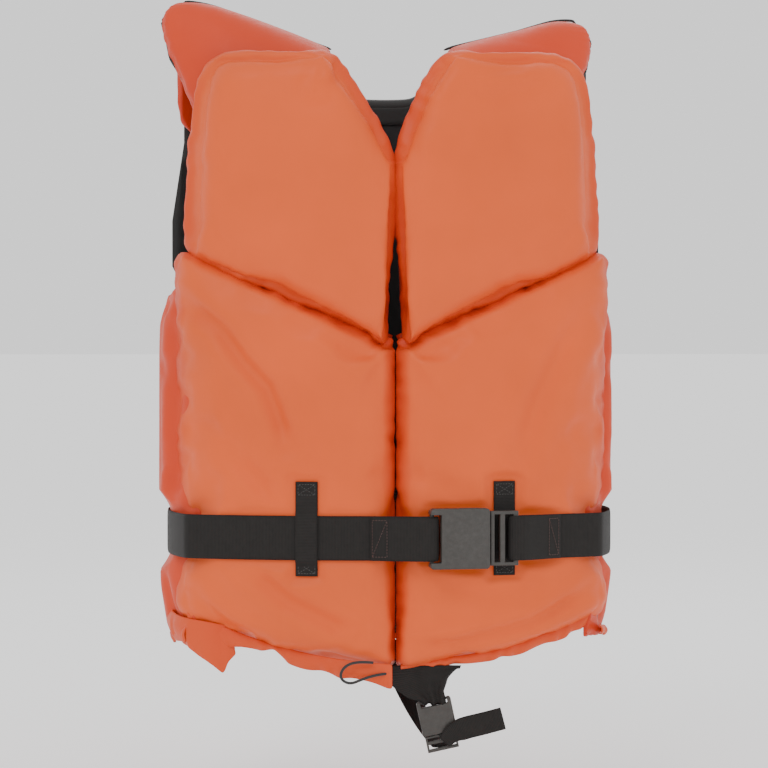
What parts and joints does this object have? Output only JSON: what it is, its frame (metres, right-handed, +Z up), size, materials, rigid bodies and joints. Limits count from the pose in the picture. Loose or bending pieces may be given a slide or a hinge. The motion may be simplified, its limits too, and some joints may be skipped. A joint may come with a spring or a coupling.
{
  "type": "life jacket",
  "caption": "Sleeveless foam buoyancy vest with padded chest blocks, front zip, belt with side-release buckle and a buckled crotch strap.",
  "frame": {"origin": "midway between the wearer's shoulders, on the centre plane, at the height where the jacket rests on them", "axes": "+Z up along the wearer's spine, -Y the way the wearer faces, so +X is the wearer's left"},
  "size_m": [0.4066, 0.2652, 0.6704],
  "materials": {
    "shell_fabric": "coated nylon, low sheen",
    "foam": "closed-cell foam",
    "lining_fabric": "woven nylon",
    "zip_tape": "knitted tape",
    "zip_plastic": "moulded acetal",
    "webbing": "woven polyester webbing",
    "buckle_plastic": "fine-textured acetal",
    "cord": "braided cord"
  },
  "bodies": {
    "jacket": {"front_cover_right": "shell_fabric", "front_cover_left": "shell_fabric", "chest_cover_right": "shell_fabric", "chest_cover_left": "shell_fabric", "side_cover_right": "shell_fabric", "side_cover_left": "shell_fabric", "shoulder_cover_right": "shell_fabric", "shoulder_cover_left": "shell_fabric", "back_cover": "shell_fabric", "front_foam_right": "foam", "front_foam_left": "foam", "chest_foam_right": "foam", "chest_foam_left": "foam", "side_foam_right": "foam", "side_foam_left": "foam", "shoulder_foam_right": "foam", "shoulder_foam_left": "foam", "back_foam": "foam", "front_lining_right": "lining_fabric", "front_lining_left": "lining_fabric", "back_lining": "lining_fabric", "side_lining_right": "lining_fabric", "side_lining_left": "lining_fabric", "neck_binding": "lining_fabric", "zip_tape_right": "zip_tape", "zip_tape_left": "zip_tape", "zip_teeth_right": "zip_plastic", "zip_teeth_left": "zip_plastic", "zip_top_stops": "zip_plastic", "zip_box": "zip_plastic", "zip_pin": "zip_plastic", "belt_main": "webbing", "belt_left": "webbing", "belt_loop_right": "webbing", "belt_loop_left": "webbing", "belt_loops_rear": "webbing", "waist_socket": "buckle_plastic", "crotch_strap": "webbing", "drawcord_loop": "cord"},
    "zip_slider": {"zip_slider": "zip_plastic"},
    "zip_pull": {"zip_pull": "zip_plastic"},
    "waist_plug": {"waist_plug": "buckle_plastic"},
    "waist_arm_upper": {"waist_arm_upper": "buckle_plastic"},
    "waist_arm_lower": {"waist_arm_lower": "buckle_plastic"},
    "crotch_hanger": {"crotch_hem_strap": "webbing", "crotch_socket": "buckle_plastic"},
    "crotch_plug": {"crotch_plug": "buckle_plastic", "crotch_tail": "webbing"},
    "crotch_arm_left": {"crotch_arm_left": "buckle_plastic"},
    "crotch_arm_right": {"crotch_arm_right": "buckle_plastic"}
  },
  "joints": [
    {"name": "zip_slide", "type": "slide", "parent": "jacket", "child": "zip_slider", "axis": [0, 0, -1], "range_m": [0, 0.238], "deforming": ["zip_teeth_right", "zip_teeth_left"]},
    {"name": "zip_pull_swing", "type": "hinge", "parent": "zip_slider", "child": "zip_pull", "pos_m": [0, -0.0908, -0.2465], "axis": [-1, 0, 0], "range_deg": [0, 100]},
    {"name": "waist_release", "type": "slide", "parent": "jacket", "child": "waist_plug", "axis": [0.9899, 0.1417, 0], "range_m": [0, 0.034], "deforming": ["belt_left", "waist_arm_upper", "waist_arm_lower"]},
    {"name": "waist_squeeze_upper", "type": "hinge", "parent": "waist_plug", "child": "waist_arm_upper", "pos_m": [0.08106, -0.13402, -0.391], "axis": [0.1417, -0.9899, 0], "range_deg": [0, 12], "stiffness_Nm_per_rad": 0.02, "deforming": ["waist_arm_upper", "waist_arm_lower"]},
    {"name": "waist_squeeze_lower", "type": "hinge", "parent": "waist_plug", "child": "waist_arm_lower", "pos_m": [0.08106, -0.13402, -0.413], "axis": [0.1417, -0.9899, 0], "range_deg": [-12, 0], "stiffness_Nm_per_rad": 0.02},
    {"name": "crotch_swing", "type": "hinge", "parent": "jacket", "child": "crotch_hanger", "pos_m": [0.022, -0.108, -0.5205], "axis": [1, 0, 0], "range_deg": [-40, 40], "deforming": ["crotch_strap"]},
    {"name": "crotch_release", "type": "slide", "parent": "crotch_hanger", "child": "crotch_plug", "axis": [0.2079, 0, -0.9781], "range_m": [0, 0.02], "deforming": ["crotch_strap", "crotch_arm_left", "crotch_arm_right"]},
    {"name": "crotch_squeeze_left", "type": "hinge", "parent": "crotch_plug", "child": "crotch_arm_left", "pos_m": [0.04595, -0.108, -0.57573], "axis": [0, -1, 0], "range_deg": [0, 12], "stiffness_Nm_per_rad": 0.01, "deforming": ["crotch_arm_left", "crotch_arm_right"]},
    {"name": "crotch_squeeze_right", "type": "hinge", "parent": "crotch_plug", "child": "crotch_arm_right", "pos_m": [0.03347, -0.108, -0.57838], "axis": [0, -1, 0], "range_deg": [-12, 0], "stiffness_Nm_per_rad": 0.01}
  ],
  "couplings": [
    {"joint": "waist_squeeze_lower", "follows": "waist_squeeze_upper", "ratio": -1},
    {"joint": "crotch_squeeze_right", "follows": "crotch_squeeze_left", "ratio": -1}
  ]
}
